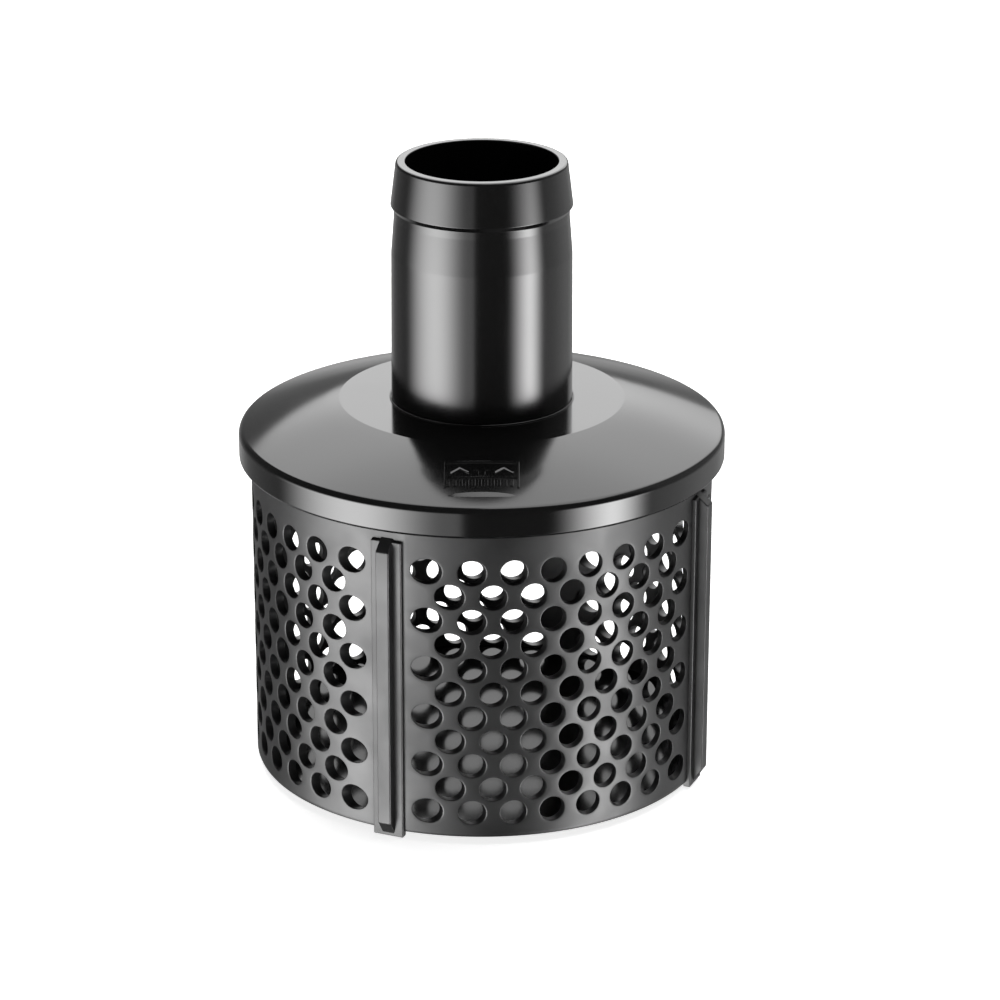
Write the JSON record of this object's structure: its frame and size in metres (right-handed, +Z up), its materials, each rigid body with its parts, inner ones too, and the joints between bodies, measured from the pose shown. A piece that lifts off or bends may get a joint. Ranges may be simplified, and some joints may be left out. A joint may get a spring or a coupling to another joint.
{
  "type": "strainer foot valve",
  "caption": "Round perforated suction strainer with a lift-off cover, a hose tail and a spring-closed lift check valve that keeps the suction hose full of water.",
  "frame": {"origin": "centre of the four feet, on the surface that they stand on (bottom centre of the object's box)", "axes": "+Z up along the hose tail's axis, the way the water flows; -Y towards the mark on the cover's cone; +X to the right of that view"},
  "size_m": [0.1356, 0.1356, 0.1743],
  "materials": {
    "basket_plastic": "satin moulded black-grey plastic with faint flow mottling",
    "cover_plastic": "gloss black moulded plastic",
    "valve_plastic": "satin black moulded plastic",
    "seal_rubber": "matte black rubber",
    "stainless_steel": "turned and pressed stainless steel",
    "bush_bronze": "sintered bronze, satin"
  },
  "bodies": {
    "strainer": {"strainer_basket": "basket_plastic"},
    "head": {"cover": "cover_plastic", "hose_tail": "cover_plastic", "tail_o_ring": "seal_rubber", "seat_gasket": "seal_rubber", "valve_seat": "valve_plastic", "guide_bush": "bush_bronze", "seat_screw_1": "stainless_steel", "seat_screw_2": "stainless_steel", "seat_screw_3": "stainless_steel", "seat_screw_4": "stainless_steel"},
    "valve": {"valve_disc": "valve_plastic", "seal_ring": "seal_rubber", "seal_clamp": "stainless_steel", "valve_stem": "stainless_steel", "nut_washer": "stainless_steel", "stem_nut": "stainless_steel", "spring_retainer": "stainless_steel", "retaining_clip": "stainless_steel", "return_spring": "stainless_steel"}
  },
  "joints": [
    {"name": "cover_lift", "type": "slide", "parent": "strainer", "child": "head", "axis": [0, 0, 1], "range_m": [0, 0.1]},
    {"name": "valve_lift", "type": "slide", "parent": "head", "child": "valve", "axis": [0, 0, 1], "range_m": [0, 0.005], "stiffness_N_per_m": 60, "springref_m": -0.003, "deforming": ["return_spring"]}
  ]
}
